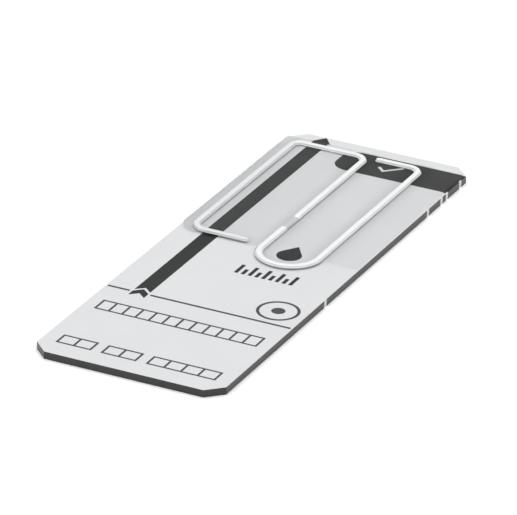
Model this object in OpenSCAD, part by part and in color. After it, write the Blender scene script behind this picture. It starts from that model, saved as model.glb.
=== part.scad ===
// Counting slide: a moulded base plate, a bonded chamber cover with a raised
// rim, and inlaid print. X runs across the slide, Y along it from the writing
// end to the band end, Z up. The origin is the middle of the underside.

/* [Base plate] */
// Length of the slide
slide_l = 76; // [72:0.5:80]
// Width of the slide
slide_w = 26; // [25:0.5:30]
// Thickness of the base plate
plate_t = 1; // [0.8:0.1:1.6]
// Length and width of the cut at each plate corner
corner_cut = 2.1; // [0.5:0.1:3]
// Length of each small gate notch in the right edge
notch_l = 0.7; // [0.3:0.1:1]
// Depth of each gate notch
notch_d = 0.1; // [0.05:0.05:0.3]
// Distance from the near end to the single gate notch
low_notch_y = 30.4; // [26:0.2:36]
// Distance from the far end to the last pair of gate notches
high_notch_y = 4; // [3:0.2:6]
// Distance between the two notches of a pair
notch_pair = 4.3; // [1.5:0.1:4.5]
// Distance from one pair of notches to the next
notch_pitch = 6; // [5.5:0.1:8]
// Number of pairs of gate notches
notch_pairs = 2; // [0:1:4]

/* [Chamber cover] */
// Distance from the near end to the cover's near edge
cover_near = 40.4; // [36:0.1:44]
// Distance from the far end to the cover's far edge
cover_far = 2.3; // [1:0.1:4]
// Gap between the plate's left edge and the cover
cover_left = 0.1; // [0.05:0.05:0.5]
// Gap between the plate's right edge and the cover
cover_right = 0.3; // [0.1:0.1:1]
// Thickness of the cover sheet
cover_t = 0.25; // [0.2:0.05:0.4]
// Height of the foot of the left flank's slope above the plate
flank_t = 0.2; // [0.05:0.05:0.2]
// Height of the counting chamber under the cover
chamber_gap = 0.1; // [0.05:0.01:0.15]
// Distance between the centre lines of the chamber's two legs
chamber_w = 7.9; // [6:0.1:9]
// Distance from the plate's right edge to the right leg's centre line
chamber_right = 5.65; // [5:0.05:7]
// Distance that the chamber's round end reaches past the cover's near edge
tongue_l = 4.9; // [3:0.1:6]

/* [Rim] */
// Width of the raised rim
rim_w = 0.75; // [0.5:0.05:1]
// Height of the rim above the cover sheet
rim_h = 0.3; // [0.2:0.05:0.6]
// Width of the sheet outside the rim
rim_lip = 0.3; // [0.1:0.05:0.5]
// Distance from the cover's left edge to the rim's centre line
rim_left = 1.85; // [1:0.05:2.2]
// Distance from the cover's far edge to the rim's centre line
rim_far = 1.55; // [0.9:0.05:2]
// Radius of the rim's near left corner
near_corner_r = 2; // [1:0.1:3]
// Radius of the rim's far left corner
left_corner_r = 1; // [0.6:0.1:1.5]
// Radius of the rim's corners at the far end of the chamber's legs
leg_corner_r = 1.7; // [0.8:0.1:2.2]
// Distance from the left leg to the rim's free near end
near_run_gap = 2.8; // [1.2:0.1:4]
// Width of the vent gap in the rim at the chamber's far end
vent_gap = 1.7; // [1:0.1:3]
// Length of the low stretch in the left leg's rim
dip_l = 3.6; // [1:0.1:5]
// Depth of the low stretch
dip_h = 0.15; // [0.05:0.01:0.2]
// Distance from the cover's near edge to the middle of the low stretch
dip_y = 8.2; // [6:0.1:14]

/* [Arrow] */
// Depth of all print in the plate
ink_t = 0.05; // [0.03:0.01:0.1]
// Distance from the plate's left edge to the arrow's centre line
arrow_x = 4.8; // [4.2:0.1:6]
// Width of the arrow's shaft
arrow_w = 2.2; // [1.4:0.1:2.8]
// Width of the arrow's head
head_w = 3; // [2.2:0.1:3.4]
// Length of the arrow's head
head_l = 2; // [1:0.1:2]
// Distance from the far end to the arrow's point
head_far = 0.1; // [0.1:0.05:1]
// Rise of the chevrons at the arrow's tail
chevron_rise = 1; // [0.8:0.1:1.6]
// Length of the tail chevron along the slide
chevron_t = 1.3; // [0.8:0.05:1.8]
// Gap between the tail chevron and the shaft
chevron_gap = 0.5; // [0.3:0.05:1.2]

/* [Band] */
// Length of the dark band along the slide
band_l = 6.2; // [4:0.1:8]
// Distance that the band reaches left of the left leg
band_over = 3.4; // [2.6:0.1:4.5]
// Radius of the band's left corners
band_r = 2.3; // [0.5:0.1:2.5]
// Gap between the band and the gate notches
band_clear = 0.05; // [0.05:0.05:0.3]
// Width of the tick in the band
tick_w = 3.4; // [2:0.1:4]
// Width of the tick's short arm
tick_arm = 1.15; // [0.6:0.05:1.4]
// Width of the tick's line
tick_line = 0.42; // [0.25:0.01:0.6]
// Distance from the band's near edge to the tick's lowest point
tick_y = 1.9; // [1.2:0.1:2.5]

/* [Chamber marks] */
// Radius of the drop mark
drop_r = 1.65; // [0.8:0.05:2.5]
// Length of the drop mark
drop_l = 4.6; // [3.6:0.1:6]
// Gap between the rim and the drop mark
drop_gap = 1.7; // [0.6:0.1:3]
// Height of the fill scale's long bars
scale_h = 2.6; // [1.5:0.1:3.5]
// Height of the fill scale's short bars
scale_short = 1.5; // [0.8:0.1:2]
// Width of each bar of the fill scale
scale_bar = 0.5; // [0.3:0.05:0.8]
// Spacing of the fill scale's bars
scale_pitch = 0.95; // [0.9:0.05:1.2]
// Number of bars in the fill scale
scale_count = 9; // [3:2:11]
// Gap between the chamber's round end and the fill scale
scale_gap = 0.8; // [0.5:0.1:1.6]

/* [Ring mark] */
// Outer radius of the ring mark
ring_r = 2.8; // [1.5:0.1:3]
// Width of the ring's line
ring_line = 0.4; // [0.2:0.05:0.6]
// Radius of the ring's dot
dot_r = 0.9; // [0.4:0.1:1.5]
// Distance from the plate's right edge to the ring's centre
ring_x = 3.8; // [3.2:0.1:5]
// Gap between the divider line and the ring
ring_gap = 1; // [0.6:0.1:2]

/* [Writing end] */
// Distance from the near end to the divider line
divider_y = 20.8; // [19:0.1:23]
// Width of the divider line
divider_line = 0.4; // [0.2:0.05:0.6]
// Distance from each long edge to the divider line's ends
divider_end = 0.3; // [0.1:0.1:2]
// Gap between the divider line and the arrow's tail
divider_gap = 0.35; // [0.2:0.05:0.6]
// Distance from the near end to the lower row of writing boxes
low_row_y = 3.1; // [2.4:0.1:4]
// Distance from the near end to the upper row of writing boxes
high_row_y = 14; // [10:0.1:15]
// Height of the lower row of writing boxes
low_row_h = 2.4; // [1.6:0.1:3.5]
// Height of the upper row of writing boxes
high_row_h = 2.8; // [1.6:0.1:3.5]
// Width of one sample box
sample_box_w = 1.85; // [1.5:0.05:2.5]
// Least distance from each long edge to the row of sample boxes
sample_end = 1.5; // [1:0.1:3]
// Width of one date box
date_box_w = 2.3; // [1.8:0.05:2.4]
// Gap between the day, month and year boxes
date_gap = 1.6; // [0.8:0.1:2]
// Width of the writing boxes' lines
box_line = 0.3; // [0.15:0.05:0.5]

/* [Hidden] */
$fn = 64;
left_x = -slide_w / 2;
right_x = slide_w / 2;
near_y = -slide_l / 2;
far_y = slide_l / 2;

// the cover's outline, and the centre lines of its rim
cover_x0 = left_x + cover_left;
cover_x1 = right_x - cover_right;
cover_y0 = near_y + cover_near;
cover_y1 = far_y - cover_far;
rim_edge = rim_w / 2 + rim_lip;
rim_x = cover_x0 + rim_left;
rim_y0 = cover_y0 + rim_edge;
rim_y1 = cover_y1 - rim_far;
rim_top = cover_t + rim_h;
leg_r = chamber_w / 2;
leg_x1 = right_x - chamber_right;
leg_x0 = leg_x1 - chamber_w;
chamber_x = leg_x1 - leg_r;
// the rim's two free ends
near_end = leg_x0 - near_run_gap;
vent_end = leg_x0 + vent_gap;
// centre of the chamber's round end
round_y = cover_y0 - tongue_l + leg_r + rim_edge;

// the print
arrow_cx = left_x + arrow_x;
divider_cy = near_y + divider_y;
chevron_y = divider_cy - chevron_t / 2 - chevron_rise / 2;
shaft_y = chevron_y + chevron_t + chevron_gap;
band_x = leg_x0 - band_over;
band_y = cover_y1 - band_l;
band_edge = notch_d + band_clear;
drop_cy = round_y - leg_r + rim_w / 2 + drop_gap + drop_r;
// how far inside the drop's round part its straight sides start
drop_bite = 0.02;
scale_y = round_y - leg_r - rim_edge - scale_gap - scale_h;
sample_count = floor((slide_w - 2 * sample_end - box_line) / sample_box_w);
// boxes for the day, the month and the year
date_groups = [2, 2, 4];
date_w = boxes_before(len(date_groups)) * date_box_w + (len(date_groups) - 1) * date_gap;
cut_over = 1;

// outlines

// the plate's outline, or a line that far inside it
module plate_outline(inset = 0) {
    x = slide_w / 2 - inset;
    y = slide_l / 2 - inset;
    cut = corner_cut - (2 - sqrt(2)) * inset;
    polygon([[cut - x, -y], [x - cut, -y], [x, cut - y], [x, y - cut],
             [x - cut, y], [cut - x, y], [-x, y - cut], [-x, cut - y]]);
}

// rectangle from corner a to corner b
module box2(a, b) {
    translate(a) square(b - a);
}

// rectangle from corner a to corner b, with its two left corners rounded
module round_left(a, b, near_r, far_r) {
    translate([a.x + near_r, a.y + near_r]) circle(near_r);
    translate([a.x + far_r, b.y - far_r]) circle(far_r);
    box2([a.x, a.y + near_r], [b.x, b.y - far_r]);
    box2([a.x + near_r, a.y], [b.x, b.y - far_r]);
    box2([a.x + far_r, b.y - far_r], b);
}

// quarter of a ring of centre line radius r, in the quadrant that dir points to
module quarter_ring(centre, r, dir) {
    reach = r + rim_w;
    translate(centre) intersection() {
        ring2(r + rim_w / 2, rim_w);
        translate([min(dir.x, 0) * reach, min(dir.y, 0) * reach]) square(reach);
    }
}

module ring2(r, line) {
    difference() {
        circle(r);
        circle(r - line);
    }
}

// straight stretch of rim between two points of its centre line
module rim_run(a, b) {
    side = a.y == b.y ? [0, rim_w / 2] : [rim_w / 2, 0];
    box2(a - side, b + side);
}

// one rim line: from its free near end, round the window on the left, down
// the left leg, round the chamber's end, up the right leg to the vent
module rim_outline() {
    rim_run([rim_x + near_corner_r, rim_y0], [near_end, rim_y0]);
    translate([near_end, rim_y0]) circle(rim_w / 2);
    quarter_ring([rim_x + near_corner_r, rim_y0 + near_corner_r], near_corner_r, [-1, -1]);
    rim_run([rim_x, rim_y0 + near_corner_r], [rim_x, rim_y1 - left_corner_r]);
    quarter_ring([rim_x + left_corner_r, rim_y1 - left_corner_r], left_corner_r, [-1, 1]);
    rim_run([rim_x + left_corner_r, rim_y1], [leg_x0 - leg_corner_r, rim_y1]);
    quarter_ring([leg_x0 - leg_corner_r, rim_y1 - leg_corner_r], leg_corner_r, [1, 1]);
    rim_run([leg_x0, round_y], [leg_x0, rim_y1 - leg_corner_r]);
    translate([chamber_x, round_y]) intersection() {
        ring2(leg_r + rim_w / 2, rim_w);
        translate([-chamber_w, -chamber_w]) square([2 * chamber_w, chamber_w]);
    }
    rim_run([leg_x1, round_y], [leg_x1, rim_y1 - leg_corner_r]);
    quarter_ring([leg_x1 - leg_corner_r, rim_y1 - leg_corner_r], leg_corner_r, [1, 1]);
    rim_run([vent_end, rim_y1], [leg_x1 - leg_corner_r, rim_y1]);
    translate([vent_end, rim_y1]) circle(rim_w / 2);
}

// the sheet under the rim, with the tongue round the chamber's end
module sheet_outline() {
    r = near_corner_r + rim_edge;
    box2([cover_x0 + r, cover_y0], [cover_x1, cover_y1]);
    box2([cover_x0, cover_y0 + r], [cover_x0 + r, cover_y1]);
    translate([cover_x0 + r, cover_y0 + r]) circle(r);
    translate([chamber_x, round_y]) circle(leg_r + rim_edge);
    box2([leg_x0 - rim_edge, round_y], [leg_x1 + rim_edge, cover_y0 + rim_edge]);
}

module chevron(y, length) {
    w = arrow_w / 2;
    polygon([[-w, y], [0, y + chevron_rise], [w, y],
             [w, y + length], [0, y + chevron_rise + length], [-w, y + length]]);
}

module arrow_outline() {
    tip = far_y - head_far;
    head = tip - head_l;
    w = arrow_w / 2;
    translate([arrow_cx, 0]) {
        chevron(chevron_y, chevron_t);
        polygon([[-w, shaft_y], [0, shaft_y + chevron_rise], [w, shaft_y], [w, head],
                 [head_w / 2, head], [0, tip], [-head_w / 2, head], [-w, head]]);
    }
}

module tick_outline() {
    long = tick_w - tick_arm;
    t = tick_line / sqrt(2);
    translate([chamber_x - tick_w / 2 + tick_arm, band_y + tick_y])
        polygon([[0, 0], [long, long], [long - t, long + t], [0, 2 * t],
                 [t - tick_arm, tick_arm + t], [-tick_arm, tick_arm]]);
}

module band_outline() {
    difference() {
        intersection() {
            round_left([band_x, band_y], [right_x, cover_y1], band_r, band_r);
            plate_outline(band_edge);
        }
        tick_outline();
    }
}

module drop_outline() {
    reach = drop_l - drop_r;
    side = acos(drop_r / reach);
    foot = (drop_r - drop_bite) * [sin(side), cos(side)];
    translate([chamber_x, drop_cy]) {
        circle(drop_r);
        polygon([[0, reach], [-foot.x, foot.y], [0, 0], foot]);
    }
}

module scale_outline() {
    middle = (scale_count - 1) / 2;
    for (i = [0 : scale_count - 1]) {
        tall = i % 2 == 0 ? scale_h : scale_short;
        x = chamber_x + (i - middle) * scale_pitch;
        box2([x - scale_bar / 2, scale_y], [x + scale_bar / 2, scale_y + tall]);
    }
}

module ring_outline() {
    translate([right_x - ring_x, divider_cy + ring_gap + ring_r]) {
        ring2(ring_r, ring_line);
        circle(dot_r);
    }
}

module divider_outline() {
    y0 = divider_cy - divider_line / 2;
    y1 = divider_cy + divider_line / 2;
    tail = arrow_w / 2 + divider_gap;
    box2([left_x + divider_end, y0], [arrow_cx - tail, y1]);
    box2([arrow_cx + tail, y0], [right_x - divider_end, y1]);
}

// a row of open boxes with shared sides, its first side's middle at corner
module box_row(corner, count, box_w, height) {
    half = box_line / 2;
    translate(corner) difference() {
        box2([-half, 0], [count * box_w + half, height]);
        for (i = [0 : count - 1])
            translate([i * box_w + half, box_line])
                square([box_w - box_line, height - 2 * box_line]);
    }
}

module sample_outline() {
    box_row([-sample_count * sample_box_w / 2, near_y + high_row_y],
            sample_count, sample_box_w, high_row_h);
}

function boxes_before(group) = group == 0 ? 0 : date_groups[group - 1] + boxes_before(group - 1);

module date_outline() {
    for (i = [0 : len(date_groups) - 1])
        box_row([boxes_before(i) * date_box_w + i * date_gap - date_w / 2, near_y + low_row_y],
                date_groups[i], date_box_w, low_row_h);
}

// pieces

module gate_notch(y) {
    translate([right_x - notch_d, y - notch_l / 2, -cut_over])
        cube([notch_d + cut_over, notch_l, plate_t + 2 * cut_over]);
}

module base_plate() {
    color("#dfe0e2") difference() {
        linear_extrude(plate_t) plate_outline();
        translate([0, 0, plate_t - ink_t]) linear_extrude(ink_t + cut_over) {
            arrow_outline();
            band_outline();
            drop_outline();
            scale_outline();
            ring_outline();
            divider_outline();
            sample_outline();
            date_outline();
        }
        gate_notch(near_y + low_notch_y);
        for (i = [0 : 1 : notch_pairs - 1], side = [0, 1])
            gate_notch(far_y - high_notch_y - i * notch_pitch - side * notch_pair);
    }
}

// the slope from the cover's left edge up to the rim, round its near corner
module flank() {
    foot_r = near_corner_r + rim_edge;
    difference() {
        hull() {
            linear_extrude(flank_t) round_left([cover_x0, cover_y0],
                [near_end, rim_y1 + rim_w / 2], foot_r, left_corner_r);
            linear_extrude(rim_top) round_left([rim_x, rim_y0],
                [near_end - rim_w, rim_y1], near_corner_r, left_corner_r);
        }
        translate([0, 0, -cut_over]) linear_extrude(rim_top + 2 * cut_over)
            round_left([rim_x, rim_y0], [leg_x0, rim_y1], near_corner_r, left_corner_r);
    }
}

module chamber_cover() {
    channel = leg_r - rim_w / 2;
    color("#d3d5d9") translate([0, 0, plate_t]) difference() {
        union() {
            linear_extrude(cover_t) sheet_outline();
            linear_extrude(rim_top) rim_outline();
            flank();
        }
        // low stretch in the left leg
        translate([leg_x0 - rim_w, cover_y0 + dip_y - dip_l / 2, rim_top - dip_h])
            cube([2 * rim_w, dip_l, rim_h]);
        // counting chamber, open at the tongue and at the far edge
        translate([chamber_x - channel, near_y, -cut_over])
            cube([2 * channel, slide_l, cut_over + chamber_gap]);
    }
}

module ink(shade) {
    color(shade) translate([0, 0, plate_t - ink_t]) linear_extrude(ink_t) children();
}

module insertion_arrow() { ink("#3c3e3d") arrow_outline(); }
module end_band() { ink("#3f3f3f") band_outline(); }
module drop_mark() { ink("#232323") drop_outline(); }
module fill_scale() { ink("#3a3a3a") scale_outline(); }
module ring_mark() { ink("#505152") ring_outline(); }
module divider_line() { ink("#505152") divider_outline(); }
module sample_boxes() { ink("#505152") sample_outline(); }
module date_boxes() { ink("#505152") date_outline(); }

base_plate();
chamber_cover();
insertion_arrow();
end_band();
drop_mark();
fill_scale();
ring_mark();
divider_line();
sample_boxes();
date_boxes();
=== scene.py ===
# A printed plastic microscope slide with a clear moulded chamber cover, on a pale light table.
# The dictionaries are in millimetres, Blender works in metres.
import math

import bmesh
import bpy
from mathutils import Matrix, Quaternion, Vector


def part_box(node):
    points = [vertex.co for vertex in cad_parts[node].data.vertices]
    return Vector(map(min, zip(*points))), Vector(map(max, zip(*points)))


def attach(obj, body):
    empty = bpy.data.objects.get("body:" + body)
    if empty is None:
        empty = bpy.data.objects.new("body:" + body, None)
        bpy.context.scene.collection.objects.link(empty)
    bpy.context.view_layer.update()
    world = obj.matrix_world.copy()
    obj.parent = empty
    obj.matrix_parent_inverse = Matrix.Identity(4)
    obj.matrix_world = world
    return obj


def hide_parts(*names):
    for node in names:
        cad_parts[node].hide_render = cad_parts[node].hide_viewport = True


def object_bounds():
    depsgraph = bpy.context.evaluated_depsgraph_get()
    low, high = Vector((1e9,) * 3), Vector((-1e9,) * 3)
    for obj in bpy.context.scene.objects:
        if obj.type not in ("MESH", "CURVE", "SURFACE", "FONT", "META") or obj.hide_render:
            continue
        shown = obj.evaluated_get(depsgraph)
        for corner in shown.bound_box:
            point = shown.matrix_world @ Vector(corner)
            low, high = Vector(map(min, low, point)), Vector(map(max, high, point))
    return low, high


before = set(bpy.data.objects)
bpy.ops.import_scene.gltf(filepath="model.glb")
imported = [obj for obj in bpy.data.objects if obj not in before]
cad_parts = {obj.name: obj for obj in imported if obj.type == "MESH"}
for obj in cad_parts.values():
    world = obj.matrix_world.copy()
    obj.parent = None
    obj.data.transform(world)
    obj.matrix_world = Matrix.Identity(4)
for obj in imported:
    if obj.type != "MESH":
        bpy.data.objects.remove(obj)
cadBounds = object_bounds()
scene = bpy.context.scene
mm = 0.001
weld = 1e-4  # points closer than this, in millimetres, are one
slack = 0.01  # how far off a line a point still counts as on it, in millimetres


def boxInMm(node):
    low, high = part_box(node)
    return low / mm, high / mm


plateLow, plateHigh = boxInMm("base_plate")
coverLow, coverHigh = boxInMm("chamber_cover")
bandLow, bandHigh = boxInMm("end_band")
inkTop = bandHigh.z

# camera: a long lens, as small products are taken with
camera = {
    "azimuth": 24.9,  # degrees, from the near end towards the right edge
    "elevation": 25.0,
    "distance": 752.6,
    "roll": 2.0,  # degrees, a slight tilt of the camera
    "lens": 412.0,
    "nearClip": 10.0,
    "farClip": 20000.0,
}


def setCamera():
    data = bpy.data.cameras.new("camera")
    data.lens = camera["lens"]
    data.clip_start, data.clip_end = camera["nearClip"] * mm, camera["farClip"] * mm
    eye = bpy.data.objects.new("camera", data)
    scene.collection.objects.link(eye)
    centre = (cadBounds[0] + cadBounds[1]) / 2
    side, up = math.radians(camera["azimuth"]), math.radians(camera["elevation"])
    back = Vector((math.sin(side) * math.cos(up), -math.cos(side) * math.cos(up), math.sin(up)))
    eye.location = centre + back * camera["distance"] * mm
    eye.rotation_mode = "QUATERNION"
    level = (-back).to_track_quat("-Z", "Y")
    eye.rotation_quaternion = level @ Quaternion((0, 0, 1), math.radians(camera["roll"]))
    scene.camera = eye


setCamera()
print("camera set")


def toLinear(hexCode):
    parts = [int(hexCode[i:i + 2], 16) / 255 for i in (1, 3, 5)]
    return [c / 12.92 if c <= 0.04045 else ((c + 0.055) / 1.055) ** 2.4 for c in parts] + [1.0]


def startMaterial(name):
    material = bpy.data.materials.new(name)
    material.use_nodes = True
    material.node_tree.nodes.clear()
    return material, material.node_tree


def addNode(tree, kind, inputs=None, **settings):
    node = tree.nodes.new(kind)
    for name, value in settings.items():
        setattr(node, name, value)
    for name, value in (inputs or {}).items():
        if isinstance(value, bpy.types.NodeSocket):
            tree.links.new(value, node.inputs[name])
        else:
            node.inputs[name].default_value = value
    return node


def perMetre(sizeMm):
    return 1 / (sizeMm * mm)  # a noise scale whose blobs are about this size


# White polystyrene, spark-eroded: an even pale grey with a very fine satin grain.
platePlastic = {
    "colour": "#d8d9da",
    "shade": "#d2d3d4",
    "roughness": 0.5,
    "ior": 1.59,
    "cloud": 6.0,  # slow drift of the tone
    "grain": 0.35,  # real grain is 0.02; drawn coarser to show
    "grainHeight": 0.002,
    "grainStrength": 0.6,
}


def satinPolystyrene():
    p = platePlastic
    material, tree = startMaterial("satin moulded polystyrene")
    place = addNode(tree, "ShaderNodeTexCoord").outputs["Object"]
    cloud = addNode(tree, "ShaderNodeTexNoise",
                    {"Vector": place, "Scale": perMetre(p["cloud"]), "Detail": 3.0})
    tone = addNode(tree, "ShaderNodeMix",
                   {"Factor": cloud.outputs["Fac"], "A": toLinear(p["colour"]), "B": toLinear(p["shade"])},
                   data_type="RGBA")
    grain = addNode(tree, "ShaderNodeTexNoise",
                    {"Vector": place, "Scale": perMetre(p["grain"]), "Detail": 2.0})
    bump = addNode(tree, "ShaderNodeBump",
                   {"Height": grain.outputs["Fac"], "Distance": p["grainHeight"] * mm,
                    "Strength": p["grainStrength"]})
    shader = addNode(tree, "ShaderNodeBsdfPrincipled",
                     {"Base Color": tone.outputs["Result"], "Roughness": p["roughness"],
                      "IOR": p["ior"], "Normal": bump.outputs["Normal"]})
    addNode(tree, "ShaderNodeOutputMaterial", {"Surface": shader.outputs["BSDF"]})
    return material


# The plate's polished side walls, in painted shade: their near-black colour stands in for the light
# that clear plastic traps; over it a mirror of the floor and faint upright flow lines.
edgePlastic = {
    # painted shade: the walls' near-black tone
    "colour": "#3b3b3c",
    "line": "#464647",
    "roughness": 0.28,
    "ior": 1.27,  # solid polystyrene is 1.59; light lost inside dulls the mirror
    "lineWidth": 0.8,
    "lineStretch": 0.08,  # upright against lengthways
}


def polishedEdge():
    p = edgePlastic
    material, tree = startMaterial("polished clear polystyrene edge in painted shade")
    place = addNode(tree, "ShaderNodeTexCoord").outputs["Object"]
    upright = addNode(tree, "ShaderNodeMapping",
                      {"Vector": place, "Scale": (1.0, 1.0, p["lineStretch"])})
    lines = addNode(tree, "ShaderNodeTexNoise",
                    {"Vector": upright.outputs["Vector"], "Scale": perMetre(p["lineWidth"]), "Detail": 2.0})
    tone = addNode(tree, "ShaderNodeMix",
                   {"Factor": lines.outputs["Fac"], "A": toLinear(p["colour"]), "B": toLinear(p["line"])},
                   data_type="RGBA")
    shader = addNode(tree, "ShaderNodeBsdfPrincipled",
                     {"Base Color": tone.outputs["Result"], "Roughness": p["roughness"], "IOR": p["ior"]})
    addNode(tree, "ShaderNodeOutputMaterial", {"Surface": shader.outputs["BSDF"]})
    return material


# Where the plate was broken off its moulding gates the plastic is torn and turns white.
tornPlastic = {
    "colour": "#e6e6e7",
    "shade": "#d0d1d2",
    "roughness": 0.7,
    "ior": 1.59,
    "tear": 0.25,
}


def tornGate():
    p = tornPlastic
    material, tree = startMaterial("torn polystyrene gate")
    place = addNode(tree, "ShaderNodeTexCoord").outputs["Object"]
    tear = addNode(tree, "ShaderNodeTexNoise",
                   {"Vector": place, "Scale": perMetre(p["tear"]), "Detail": 4.0})
    tone = addNode(tree, "ShaderNodeMix",
                   {"Factor": tear.outputs["Fac"], "A": toLinear(p["colour"]), "B": toLinear(p["shade"])},
                   data_type="RGBA")
    shader = addNode(tree, "ShaderNodeBsdfPrincipled",
                     {"Base Color": tone.outputs["Result"], "Roughness": p["roughness"], "IOR": p["ior"]})
    addNode(tree, "ShaderNodeOutputMaterial", {"Surface": shader.outputs["BSDF"]})
    return material


# Clear moulded acrylic: glassy, hardly darker than what lies under it, with a faint moulding haze.
# The flank's greyer tones are painted shade, for the way its slope bends the view towards the dark edge.
clearPlastic = {
    "sheet": ("#fdfefe", "#fbfbfc"),
    # painted shade: the flank's greyer tones
    "flank": ("#eaebec", "#e3e4e5"),
    "smooth": 0.02,
    "rough": 0.06,
    "ior": 1.08,  # acrylic is 1.49; a sheet this thin bends the view far less than a block does
    "clear": 0.975,
    "flow": 9.0,
    "paintedShadeTone": "#e8e9ea",  # painted shade on the sheet beside the ridge, standing in for the light the ridge leads away
    "shadeFrom": 0.4,  # both from the ridge's middle line
    "shadeTo": 2.5,
}


def clearAcrylic(name, tones, findPaintedShade=None):
    # the shade finder gives the painted shade's factor, from 0 on the open sheet to 1 in full painted shade
    p = clearPlastic
    material, tree = startMaterial(name)
    place = addNode(tree, "ShaderNodeTexCoord").outputs["Object"]
    flow = addNode(tree, "ShaderNodeTexNoise",
                   {"Vector": place, "Scale": perMetre(p["flow"]), "Detail": 2.0})
    tone = addNode(tree, "ShaderNodeMix",
                   {"Factor": flow.outputs["Fac"], "A": toLinear(tones[0]), "B": toLinear(tones[1])},
                   data_type="RGBA")
    # mix in the painted shade beside the ridge
    if findPaintedShade:
        tone = addNode(tree, "ShaderNodeMix",
                       {"Factor": findPaintedShade(tree, place), "A": tone.outputs["Result"],
                        "B": toLinear(p["paintedShadeTone"])}, data_type="RGBA")
    polish = addNode(tree, "ShaderNodeMapRange",
                     {"Value": flow.outputs["Fac"], "To Min": p["smooth"], "To Max": p["rough"]})
    shader = addNode(tree, "ShaderNodeBsdfPrincipled",
                     {"Base Color": tone.outputs["Result"], "Roughness": polish.outputs["Result"],
                      "IOR": p["ior"], "Transmission Weight": p["clear"]})
    addNode(tree, "ShaderNodeOutputMaterial", {"Surface": shader.outputs["BSDF"]})
    return material


# Milky moulded acrylic ridge: a white line whose near-white tone is partly a painted highlight on its top;
# darker copies are painted shade along the window's left and near runs and, darker still, where it dips.
milkyPlastic = {
    # ridge: milky white raised near white, partly a painted highlight; dim and dip: painted shade
    "ridge": ("#f9fafa", "#f1f2f3"),
    "dim": ("#edeeef", "#e4e6e7"),
    "dip": ("#cfd0d2", "#c6c7c9"),
    "roughness": 0.25,
    "ior": 1.49,
    "cloud": 1.2,
    "clear": 0.08,
}


def milkyAcrylic(name, tones):
    p = milkyPlastic
    material, tree = startMaterial(name)
    place = addNode(tree, "ShaderNodeTexCoord").outputs["Object"]
    cloud = addNode(tree, "ShaderNodeTexNoise",
                    {"Vector": place, "Scale": perMetre(p["cloud"]), "Detail": 2.0})
    tone = addNode(tree, "ShaderNodeMix",
                   {"Factor": cloud.outputs["Fac"], "A": toLinear(tones[0]), "B": toLinear(tones[1])},
                   data_type="RGBA")
    shader = addNode(tree, "ShaderNodeBsdfPrincipled",
                     {"Base Color": tone.outputs["Result"], "Roughness": p["roughness"],
                      "IOR": p["ior"], "Transmission Weight": p["clear"]})
    addNode(tree, "ShaderNodeOutputMaterial", {"Surface": shader.outputs["BSDF"]})
    return material


# Pad-printing ink: a thin satin film, with the faint even mottle that the soft pad leaves.
padInk = {
    "black": ("#161718", "#1e1f20"),
    "grey": ("#3c3d3e", "#464748"),
    "roughness": 0.5,
    "ior": 1.38,
    "denseIor": 1.2,  # a drier ink with hardly any gloss, so it reads blacker
    "mottle": 0.4,  # the real mottle is 0.1; drawn coarser to show
    "mottleHeight": 0.001,
    "mottleStrength": 0.5,
}


def padPrint(name, tones, ior):
    p = padInk
    material, tree = startMaterial(name)
    place = addNode(tree, "ShaderNodeTexCoord").outputs["Object"]
    mottle = addNode(tree, "ShaderNodeTexNoise",
                     {"Vector": place, "Scale": perMetre(p["mottle"]), "Detail": 1.0})
    tone = addNode(tree, "ShaderNodeMix",
                   {"Factor": mottle.outputs["Fac"], "A": toLinear(tones[0]), "B": toLinear(tones[1])},
                   data_type="RGBA")
    bump = addNode(tree, "ShaderNodeBump",
                   {"Height": mottle.outputs["Fac"], "Distance": p["mottleHeight"] * mm,
                    "Strength": p["mottleStrength"]})
    shader = addNode(tree, "ShaderNodeBsdfPrincipled",
                     {"Base Color": tone.outputs["Result"], "Roughness": p["roughness"],
                      "IOR": ior, "Normal": bump.outputs["Normal"]})
    addNode(tree, "ShaderNodeOutputMaterial", {"Surface": shader.outputs["BSDF"]})
    return material


# Sanded opal acrylic of a light table, faintly lit from below: even white up to what stands on it.
tableAcrylic = {
    "colour": "#f9f9f9",
    "shade": "#f5f5f5",
    "roughness": 0.9,
    "cloud": 60.0,
    "glow": 0.1,
}


def sandedOpal():
    p = tableAcrylic
    material, tree = startMaterial("sanded opal acrylic")
    place = addNode(tree, "ShaderNodeTexCoord").outputs["Object"]
    cloud = addNode(tree, "ShaderNodeTexNoise",
                    {"Vector": place, "Scale": perMetre(p["cloud"]), "Detail": 1.0})
    tone = addNode(tree, "ShaderNodeMix",
                   {"Factor": cloud.outputs["Fac"], "A": toLinear(p["colour"]), "B": toLinear(p["shade"])},
                   data_type="RGBA")
    shader = addNode(tree, "ShaderNodeBsdfPrincipled",
                     {"Base Color": tone.outputs["Result"], "Roughness": p["roughness"],
                      "Specular IOR Level": 0.0, "Emission Color": tone.outputs["Result"],
                      "Emission Strength": p["glow"]})
    addNode(tree, "ShaderNodeOutputMaterial", {"Surface": shader.outputs["BSDF"]})
    return material


plateTop, plateEdge, plateGate = satinPolystyrene(), polishedEdge(), tornGate()
clearEdge = clearAcrylic("clear moulded acrylic edge", clearPlastic["sheet"])
paintedShadeFlank = clearAcrylic("clear moulded acrylic flank in painted shade", clearPlastic["flank"])
milkyRidge = milkyAcrylic("milky moulded acrylic ridge", milkyPlastic["ridge"])
paintedShadeRidge = milkyAcrylic("milky moulded acrylic ridge in painted shade", milkyPlastic["dim"])
deeperPaintedShadeRidge = milkyAcrylic("milky moulded acrylic ridge in deeper painted shade", milkyPlastic["dip"])
blackInk = padPrint("black pad-printing ink", padInk["black"], padInk["ior"])
denseInk = padPrint("dense black pad-printing ink", padInk["black"], padInk["denseIor"])
greyInk = padPrint("dark grey pad-printing ink", padInk["grey"], padInk["ior"])
print("materials made")


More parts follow.
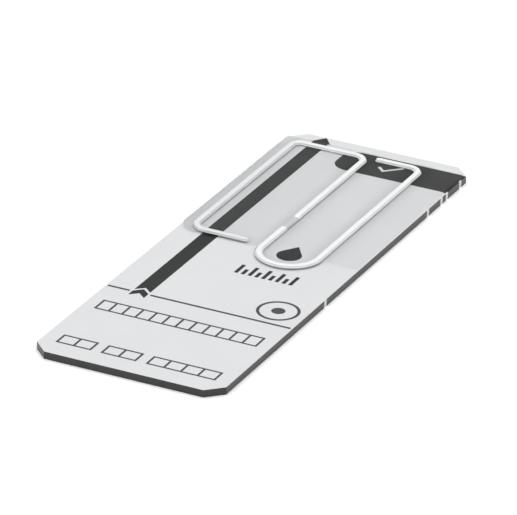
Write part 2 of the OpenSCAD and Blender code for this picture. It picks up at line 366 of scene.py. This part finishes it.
def roundedPath(corners, closed, arcStep):
    # points along straight runs joined by arcs, with about arcStep degrees from point to point;
    # a corner is (x, y, radius)
    points = []
    for i, (x, y, radius) in enumerate(corners):
        corner = Vector((x, y))
        if radius == 0:
            points.append(corner)
            continue
        before = (Vector(corners[i - 1][:2]) - corner).normalized()
        after = (Vector(corners[(i + 1) % len(corners)][:2]) - corner).normalized()
        half = before.angle(after) / 2
        centre = corner + (before + after).normalized() * radius / math.sin(half)
        start = corner + before * radius / math.tan(half) - centre
        end = corner + after * radius / math.tan(half) - centre
        startAngle = math.atan2(start.y, start.x)
        turn = (math.atan2(end.y, end.x) - startAngle + math.pi) % (2 * math.pi) - math.pi
        steps = max(2, round(abs(math.degrees(turn)) / arcStep))
        for k in range(steps + 1):
            angle = startAngle + turn * k / steps
            points.append(centre + radius * Vector((math.cos(angle), math.sin(angle))))
    kept = [p for i, p in enumerate(points) if i == 0 or (p - points[i - 1]).length > weld]
    if closed and (kept[0] - kept[-1]).length < weld:
        kept.pop()
    return kept


def divided(points, longest):
    # the same path with no step longer than that
    out = [points[0]]
    for a, b in zip(points, points[1:]):
        parts = max(1, math.ceil((b - a).length / longest))
        out += [a.lerp(b, k / parts) for k in range(1, parts + 1)]
    return out


def leftSides(points, closed):
    # at each point, the mitred unit step to the path's left
    sides = []
    for i, here in enumerate(points):
        before = points[i - 1] if i or closed else None
        after = points[(i + 1) % len(points)] if i < len(points) - 1 or closed else None
        runs = [(b - a).normalized() for a, b in ((before, here), (here, after)) if a and b]
        along = sum(runs, Vector((0, 0))).normalized()
        sides.append(Vector((-along.y, along.x)) / along.dot(runs[0]))
    return sides


def inset(points, distance):
    return [p + s * distance for p, s in zip(points, leftSides(points, True))]


def makePiece(name, corners, faces, materials, faceMaterials=None, sharpAngle=35.0):
    mesh = bpy.data.meshes.new(name)
    mesh.from_pydata([Vector(c) * mm for c in corners], [], faces)
    for material in materials:
        mesh.materials.append(material)
    if faceMaterials:
        mesh.polygons.foreach_set("material_index", faceMaterials)
    shape = bmesh.new()
    shape.from_mesh(mesh)
    bmesh.ops.remove_doubles(shape, verts=shape.verts, dist=weld * mm)
    bmesh.ops.recalc_face_normals(shape, faces=shape.faces)
    shape.to_mesh(mesh)
    shape.free()
    mesh.shade_smooth()
    mesh.set_sharp_from_angle(angle=math.radians(sharpAngle))
    piece = bpy.data.objects.new(name, mesh)
    scene.collection.objects.link(piece)
    return piece


def evenNormals(piece):
    # large flat faces keep flat shading beside small rounded edges
    even = piece.modifiers.new("even normals", "WEIGHTED_NORMAL")
    even.keep_sharp = True
    return piece


# The plate: clipped corners, fine rounded edges, five pale gate scars in the right edge.
plate = {
    "cornerCut": 2.1,
    "cornerRadius": 0.25,
    "arcStep": 15.0,  # degrees
    "edgeRound": 0.05,
    "edgeSteps": 3,
    "inkStandsUp": 0.01,
    "gateLength": 0.7,
    "gateDepth": 0.1,
    "gatesFromNearEnd": [30.4],
    "gatesFromFarEnd": [4.0, 8.3, 10.0, 14.3],
    "leastMargin": 0.1,  # a shorter stretch of band between two scars is left bare
}


def gatePlaces():
    near = [plateLow.y + gate for gate in plate["gatesFromNearEnd"]]
    return near + [plateHigh.y - gate for gate in reversed(plate["gatesFromFarEnd"])]


def plateOutline():
    p = plate
    x, y, cut, r = plateHigh.x, plateHigh.y, p["cornerCut"], p["cornerRadius"]
    corners = [(cut - x, -y, r), (x - cut, -y, r), (x, cut - y, r)]
    for gate in gatePlaces():
        low, high, deep = gate - p["gateLength"] / 2, gate + p["gateLength"] / 2, x - p["gateDepth"]
        corners += [(x, low, 0), (deep, low, 0), (deep, high, 0), (x, high, 0)]
    corners += [(x, y - cut, r), (x - cut, y, r), (cut - x, y, r), (-x, y - cut, r), (-x, cut - y, r)]
    return roundedPath(corners, True, p["arcStep"])


def isGate(spot):
    # whether the middle of a stretch of the outline lies on a gate scar
    beside = any(abs(spot.y - gate) < plate["gateLength"] / 2 + slack for gate in gatePlaces())
    return beside and spot.x > plateHigh.x - plate["gateDepth"] - slack


def wallKind(spot, onTopEdge):
    # 0 for the satin top, 1 for the polished wall in painted shade and 2 for a gate scar;
    # the top's rounded edge is satin too, but not beside the band, where no pale line shows
    if isGate(spot):
        return 2
    besideBand = spot.x > plateHigh.x - slack and bandLow.y < spot.y < bandHigh.y
    return 0 if onTopEdge and not besideBand else 1


def buildPlate():
    p = plate
    outline = plateOutline()
    count, r = len(outline), p["edgeRound"]
    top = inkTop - p["inkStandsUp"]
    angles = [math.pi / 2 * k / p["edgeSteps"] for k in range(p["edgeSteps"] + 1)]
    levels = [(r * (1 - math.sin(a)), r * (1 - math.cos(a))) for a in angles]
    levels += [(r * (1 - math.cos(a)), top - r * (1 - math.sin(a))) for a in angles]
    corners = [(q.x, q.y, z) for step, z in levels for q in inset(outline, step)]
    faces, kinds = [], []
    for row in range(len(levels) - 1):
        for i in range(count):
            j = (i + 1) % count
            faces.append([row * count + i, row * count + j, (row + 1) * count + j, (row + 1) * count + i])
            kinds.append(wallKind((outline[i] + outline[j]) / 2, row == len(levels) - 2))
    faces += [list(range(count))[::-1], list(range((len(levels) - 1) * count, len(levels) * count))]
    kinds += [0, 0]
    return evenNormals(makePiece("slide_plate", corners, faces, [plateTop, plateEdge, plateGate], kinds))


platePiece = buildPlate()
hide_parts("base_plate")
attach(platePiece, "root")


def buildBandMargin():
    # the band's ink runs on to the plate's rounded edge, between the gate scars
    reach = plateHigh.x - plate["edgeRound"]
    stops = [bandLow.y]
    for gate in gatePlaces():
        if bandLow.y - plate["gateLength"] / 2 < gate < bandHigh.y:
            stops += [gate - plate["gateLength"] / 2, gate + plate["gateLength"] / 2]
    stops.append(bandHigh.y)
    corners, faces = [], []
    for low, high in zip(stops[::2], stops[1::2]):
        if high - low < plate["leastMargin"]:
            continue
        first = len(corners)
        for z in (inkTop - 2 * plate["inkStandsUp"], inkTop):
            corners += [(bandHigh.x, low, z), (reach, low, z), (reach, high, z), (bandHigh.x, high, z)]
        faces += [[first + c for c in face] for face in
                  ((3, 2, 1, 0), (4, 5, 6, 7), (0, 1, 5, 4), (1, 2, 6, 5), (2, 3, 7, 6), (3, 0, 4, 7))]
    return makePiece("band_margin", corners, faces, [blackInk])


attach(buildBandMargin(), "root")
print("plate built")

# The rim: one open line of raised plastic round the window and the counting chamber.
rim = {
    "width": 0.75,
    "height": 0.3,
    "topRound": 0.14,
    "footFillet": 0.1,
    "sunk": 0.03,
    "toSheetEdge": 0.675,
    "fromLeft": 1.85,
    "fromFar": 1.55,
    "nearCorner": 2.0,
    "leftCorner": 1.0,
    "legCorner": 1.7,
    "legFromRight": 5.35,
    "chamberWidth": 7.9,
    "nearRunGap": 2.8,
    "ventGap": 1.7,
    "dipLength": 3.6,
    "dipDepth": 0.15,
    "dipFromNear": 8.2,
    "paintedShadeReach": 0.1,  # how far past the left run and the near run's free end the painted shade goes
    "arcStep": 5.0,  # degrees
    "longestStep": 0.6,
    "topSteps": 4,
    "footSteps": 3,
    "endSteps": 12,
}
# The sheet under it, with a tongue round the chamber's near end and a left flank that slopes
# from the sheet's edge up to the rim.
sheet = {
    "thickness": 0.25,
    "bond": 0.02,  # how far its underside lies inside the plate, so that no air is left between
    "tongue": 4.9,
    "edgeRound": 0.03,
    "cornerRadius": 0.3,
    "arcStep": 10.0,  # degrees
    "flankCrest": 0.27,  # how far above the sheet the flank meets the rim
    "flankTaper": 1.4,
    "flankStop": 0.1,  # how far from the near edge the flank's painted shade stops
    "leftSteps": 40,
    "cornerSteps": 16,
    "nearSteps": 10,
}
sheetNear = coverLow.y + sheet["tongue"]
sheetTop = plateHigh.z + sheet["thickness"]
rimNear = sheetNear + rim["toSheetEdge"]
rimFar = coverHigh.y - rim["fromFar"]
rimLeft = coverLow.x + rim["fromLeft"]
legRight = coverHigh.x - rim["legFromRight"]
legLeft = legRight - rim["chamberWidth"]
legRadius = rim["chamberWidth"] / 2
chamberX = (legLeft + legRight) / 2
chamberNear = coverLow.y + rim["toSheetEdge"]
nearEnd = legLeft - rim["nearRunGap"]


def rimPath():
    corners = [(nearEnd, rimNear, 0), (rimLeft, rimNear, rim["nearCorner"]),
               (rimLeft, rimFar, rim["leftCorner"]), (legLeft, rimFar, rim["legCorner"]),
               (legLeft, chamberNear, legRadius), (legRight, chamberNear, legRadius),
               (legRight, rimFar, rim["legCorner"]), (legLeft + rim["ventGap"], rimFar, 0)]
    return divided(roundedPath(corners, False, rim["arcStep"]), rim["longestStep"])


def rimProfile():
    # half of the ridge's section from its middle outwards: rounded top, upright side, filleted foot
    half, h, r, f = rim["width"] / 2, rim["height"], rim["topRound"], rim["footFillet"]
    points = []
    for k in range(rim["topSteps"] + 1):
        angle = math.pi / 2 * k / rim["topSteps"]
        points.append((half - r + r * math.sin(angle), h - r + r * math.cos(angle)))
    for k in range(rim["footSteps"] + 1):
        angle = math.pi / 2 * k / rim["footSteps"]
        points.append((half + f - f * math.cos(angle), f - f * math.sin(angle)))
    return points + [(half + f, -rim["sunk"])]


def smoothStep(t):
    t = min(max(t, 0.0), 1.0)
    return t * t * (3 - 2 * t)


def buildRim():
    path, profile = rimPath(), rimProfile()
    sides = leftSides(path, False)
    dipY = sheetNear + rim["dipFromNear"]
    corners, faces, kinds, stations = [], [], [], []

    def ring(centre, direction, share):
        first = len(corners)
        for across, up in profile:
            spot = centre + direction * across
            corners.append((spot.x, spot.y, sheetTop + (up * share if up > 0 else up)))
        return list(range(first, len(corners)))

    def skin(one, two, top, bottom):
        # faces between two half sections; top and bottom hold the middle corners of each;
        # their kind is 0 for the bright ridge, 1 for its runs in painted shade and 2 for the dip in deeper
        # painted shade
        a, b = [top[0]] + one + [bottom[0]], [top[1]] + two + [bottom[1]]
        x, y, z = corners[top[0]]
        # where the ridge is low or on a dim run it takes a copy in painted shade
        low = z < sheetTop + rim["height"] - rim["dipDepth"] / 2
        onNearRun = x < nearEnd + rim["paintedShadeReach"] and y < rimNear + rim["nearCorner"]
        dim = onNearRun or x < rimLeft + rim["paintedShadeReach"]
        for k in range(len(a) - 1):
            quad = [a[k], b[k], b[k + 1], a[k + 1]]
            faces.append([c for i, c in enumerate(quad) if c != quad[i - 1]])
            kinds.append(2 if low else 1 if dim else 0)

    for centre, side in zip(path, sides):
        share = 1.0
        if abs(centre.x - legLeft) < slack:
            inDip = (rim["dipLength"] / 2 - abs(centre.y - dipY)) / rim["longestStep"] + 0.5
            share = 1 - rim["dipDepth"] / rim["height"] * smoothStep(inDip)
        top, bottom = len(corners), len(corners) + 1
        corners.append((centre.x, centre.y, sheetTop + rim["height"] * share))
        corners.append((centre.x, centre.y, sheetTop - rim["sunk"]))
        stations.append((top, bottom, ring(centre, side, share), ring(centre, -side, share)))
    for (topA, bottomA, leftA, rightA), (topB, bottomB, leftB, rightB) in zip(stations, stations[1:]):
        skin(leftA, leftB, (topA, topB), (bottomA, bottomB))
        skin(rightA, rightB, (topA, topB), (bottomA, bottomB))
    for end, side, turn in ((0, sides[0], 1), (-1, sides[-1], -1)):
        top, bottom, left, right = stations[end]
        turned = [left]
        for k in range(1, rim["endSteps"]):
            angle = turn * math.pi * k / rim["endSteps"]
            direction = Vector((side.x * math.cos(angle) - side.y * math.sin(angle),
                                side.x * math.sin(angle) + side.y * math.cos(angle)))
            turned.append(ring(path[end], direction, 1.0))
        turned.append(right)
        for one, two in zip(turned, turned[1:]):
            skin(one, two, (top, top), (bottom, bottom))
    return makePiece("cover_rim", corners, faces, [milkyRidge, paintedShadeRidge, deeperPaintedShadeRidge], kinds, sharpAngle=50.0)


def flankPaths():
    # the sheet's left and near edge, and the rim's middle beside it, point for point
    outer, inner = [], []
    cornerIn, cornerOut = rim["nearCorner"], rim["nearCorner"] + rim["toSheetEdge"]
    arcY = sheetNear + cornerOut
    farY = rimFar - rim["leftCorner"]
    for k in range(sheet["leftSteps"] + 1):
        y = farY + (arcY - farY) * k / sheet["leftSteps"]
        outer.append(Vector((coverLow.x, y)))
        inner.append(Vector((rimLeft, y)))
    for k in range(1, sheet["cornerSteps"]):
        angle = math.pi * (1 + k / (2 * sheet["cornerSteps"]))
        step = Vector((math.cos(angle), math.sin(angle)))
        outer.append(Vector((coverLow.x + cornerOut, arcY)) + step * cornerOut)
        inner.append(Vector((rimLeft + cornerIn, arcY)) + step * cornerIn)
    for k in range(sheet["nearSteps"] + 1):
        t = k / sheet["nearSteps"]
        outer.append(Vector((coverLow.x + cornerOut + (nearEnd - coverLow.x - cornerOut) * t, sheetNear)))
        inner.append(Vector((rimLeft + cornerIn + (nearEnd - rimLeft - cornerIn) * t, rimNear)))
    return outer, inner


def buildSheet():
    outer, inner = flankPaths()
    tongueHalf = legRadius + rim["toSheetEdge"]
    rest = roundedPath([(chamberX - tongueHalf, sheetNear, sheet["cornerRadius"]),
                        (chamberX - tongueHalf, coverLow.y, tongueHalf),
                        (chamberX + tongueHalf, coverLow.y, tongueHalf),
                        (chamberX + tongueHalf, sheetNear, sheet["cornerRadius"]),
                        (coverHigh.x, sheetNear, sheet["cornerRadius"]),
                        (coverHigh.x, coverHigh.y, sheet["cornerRadius"]),
                        (coverLow.x, coverHigh.y, sheet["cornerRadius"]),
                        (coverLow.x, sheetNear, 0)], True, sheet["arcStep"])
    # the flank's own path stands in for that stretch of the outline
    rest = [p for p in rest if p.x > nearEnd or p.y > outer[0].y]
    outline = outer + rest
    count, flankCount, r = len(outline), len(outer), sheet["edgeRound"]
    bottom = plateHigh.z - sheet["bond"]
    crest = []
    for spot in outer:
        fromEnds = min((spot - outer[0]).length, (spot - outer[-1]).length)
        crest.append(sheetTop + smoothStep(fromEnds / sheet["flankTaper"]) * sheet["flankCrest"])
    levels = [(r, bottom), (0, bottom + r), (0, sheetTop - r), (r, sheetTop)]
    corners = [(q.x, q.y, z) for step, z in levels for q in inset(outline, step)]
    # a face's kind is 0 for the open sheet, 1 for the flank in painted shade and 2 for the edges
    faces, kinds = [list(range(count))[::-1]], [2]
    for row in range(len(levels) - 1):
        for i in range(count):
            j = (i + 1) % count
            faces.append([row * count + i, row * count + j, (row + 1) * count + j, (row + 1) * count + i])
            kinds.append(2 if i >= flankCount - 1 else 1)
    rimTop, rimFoot = len(corners), len(corners) + flankCount
    corners += [(p.x, p.y, z) for p, z in zip(inner, crest)]
    corners += [(p.x, p.y, sheetTop) for p in inner]
    upper = (len(levels) - 1) * count
    for i in range(flankCount - 1):
        faces.append([upper + i, upper + i + 1, rimTop + i + 1, rimTop + i])
        faces.append([rimTop + i, rimTop + i + 1, rimFoot + i + 1, rimFoot + i])
        kinds += [2, 2] if outer[i].y < sheetNear + sheet["flankStop"] else [1, 1]
    flat = [upper + flankCount - 1] + [upper + i for i in range(flankCount, count)] + [upper]
    faces.append(flat + [rimFoot + i for i in range(flankCount)])
    kinds.append(0)
    return makePiece("cover_sheet", corners, faces, [clearSheet, paintedShadeFlank, clearEdge], kinds)


def paintedShadeBesideRidge(tree, place):
    # painted shade: 1 along the ridge, 0 on the open sheet, by the distance to the nearest stretch of ridge
    p = clearPlastic
    spot = addNode(tree, "ShaderNodeVectorMath",
                   {0: place, 1: (1.0, 1.0, 0.0)}, operation="MULTIPLY").outputs[0]
    parts = addNode(tree, "ShaderNodeSeparateXYZ", {0: spot})
    # the chamber's two legs and round end
    roundCentre = Vector((chamberX, chamberNear + legRadius, 0)) * mm
    fromRound = addNode(tree, "ShaderNodeVectorMath", {0: spot, 1: roundCentre}, operation="SUBTRACT")
    folded = addNode(tree, "ShaderNodeVectorMath",
                     {0: fromRound.outputs[0], 1: (1.0, 0.0, 0.0)}, operation="MINIMUM")
    radius = addNode(tree, "ShaderNodeVectorMath", {0: folded.outputs[0]}, operation="LENGTH")
    offLeg = addNode(tree, "ShaderNodeMath",
                     {0: radius.outputs["Value"], 1: legRadius * mm}, operation="SUBTRACT")
    leg = addNode(tree, "ShaderNodeMath", {0: offLeg.outputs[0]}, operation="ABSOLUTE").outputs[0]
    # the window's left and near runs, up to the near run's free end
    corner = rim["nearCorner"]
    cornerCentre = Vector((rimLeft + corner, rimNear + corner, 0)) * mm
    inCorner = addNode(tree, "ShaderNodeVectorMath", {0: cornerCentre, 1: spot}, operation="SUBTRACT")
    kept = addNode(tree, "ShaderNodeVectorMath",
                   {0: inCorner.outputs[0], 1: (0.0, 0.0, 0.0)}, operation="MAXIMUM")
    radius = addNode(tree, "ShaderNodeVectorMath", {0: kept.outputs[0]}, operation="LENGTH")
    offRun = addNode(tree, "ShaderNodeMath",
                     {0: radius.outputs["Value"], 1: corner * mm}, operation="SUBTRACT")
    run = addNode(tree, "ShaderNodeMath", {0: offRun.outputs[0]}, operation="ABSOLUTE").outputs[0]
    beyond = addNode(tree, "ShaderNodeMath", {0: parts.outputs["X"], 1: nearEnd * mm}, operation="SUBTRACT")
    past = addNode(tree, "ShaderNodeMath", {0: beyond.outputs[0], 1: 0.0}, operation="MAXIMUM").outputs[0]
    window = addNode(tree, "ShaderNodeMath", {0: run, 1: past}, operation="ADD").outputs[0]
    nearest = addNode(tree, "ShaderNodeMath", {0: leg, 1: window}, operation="MINIMUM").outputs[0]
    return addNode(tree, "ShaderNodeMapRange",
                   {"Value": nearest, "From Min": p["shadeTo"] * mm, "From Max": p["shadeFrom"] * mm},
                   interpolation_type="SMOOTHSTEP").outputs["Result"]


# the sheet's tone darkens beside the ridge: painted shade
clearSheet = clearAcrylic("clear moulded acrylic sheet", clearPlastic["sheet"], paintedShadeBesideRidge)
rimPiece = buildRim()
sheetPiece = evenNormals(buildSheet())
for piece in (rimPiece, sheetPiece):
    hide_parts("chamber_cover")
    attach(piece, "root")
print("cover built")

# The prints keep their solids from the frame and take their ink here.
prints = {
    "black": ["insertion_arrow", "end_band", "fill_scale"],
    "dense": ["drop_mark"],
    "grey": ["ring_mark", "divider_line", "sample_boxes", "date_boxes"],
}
for kind, ink in (("black", blackInk), ("dense", denseInk), ("grey", greyInk)):
    for name in prints[kind]:
        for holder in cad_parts[name].material_slots:
            holder.material = ink
print("prints inked")

# Studio: a wide white light table, a dim low surround and bright soft light from above.
studio = {
    "floorHalf": 12000.0,
    "floorGap": 0.02,
    # brightness of the surround, by the upward part of its direction
    "surround": [(0.0, 1.05), (0.1, 1.05), (0.22, 0.4), (0.5, 0.4), (0.8, 1.45)],
    "softboxSize": 900.0,
    "softboxHeight": 1300.0,
    "softboxPower": 3.0,  # watts
    "softboxAside": -150.0,
    "softboxBack": 250.0,
}


def buildFloor():
    half, z = studio["floorHalf"], -studio["floorGap"]
    corners = [(-half, -half, z), (half, -half, z), (half, half, z), (-half, half, z)]
    makePiece("studio_floor", corners, [[0, 1, 2, 3]], [sandedOpal()])


def setLights():
    world = bpy.data.worlds.new("studio surround")
    scene.world = world
    world.use_nodes = True
    tree = world.node_tree
    tree.nodes.clear()
    direction = addNode(tree, "ShaderNodeTexCoord").outputs["Generated"]
    height = addNode(tree, "ShaderNodeSeparateXYZ", {"Vector": direction}).outputs["Z"]
    ramp = addNode(tree, "ShaderNodeValToRGB", {"Fac": height})
    while len(ramp.color_ramp.elements) < len(studio["surround"]):
        ramp.color_ramp.elements.new(0.5)
    for element, (position, level) in zip(ramp.color_ramp.elements, studio["surround"]):
        element.position = position
        element.color = [level] * 3 + [1.0]
    sky = addNode(tree, "ShaderNodeBackground", {"Color": ramp.outputs["Color"], "Strength": 1.0})
    addNode(tree, "ShaderNodeOutputWorld", {"Surface": sky.outputs["Background"]})
    softbox = bpy.data.lights.new("softbox", "AREA")
    softbox.size = studio["softboxSize"] * mm
    softbox.energy = studio["softboxPower"]
    lamp = bpy.data.objects.new("softbox", softbox)
    lamp.location = Vector((studio["softboxAside"], studio["softboxBack"], studio["softboxHeight"])) * mm
    lamp.rotation_mode = "QUATERNION"
    lamp.rotation_quaternion = (-lamp.location).to_track_quat("-Z", "Y")
    scene.collection.objects.link(lamp)
    scene.view_settings.view_transform = "Standard"


buildFloor()
setLights()
print("studio lit")
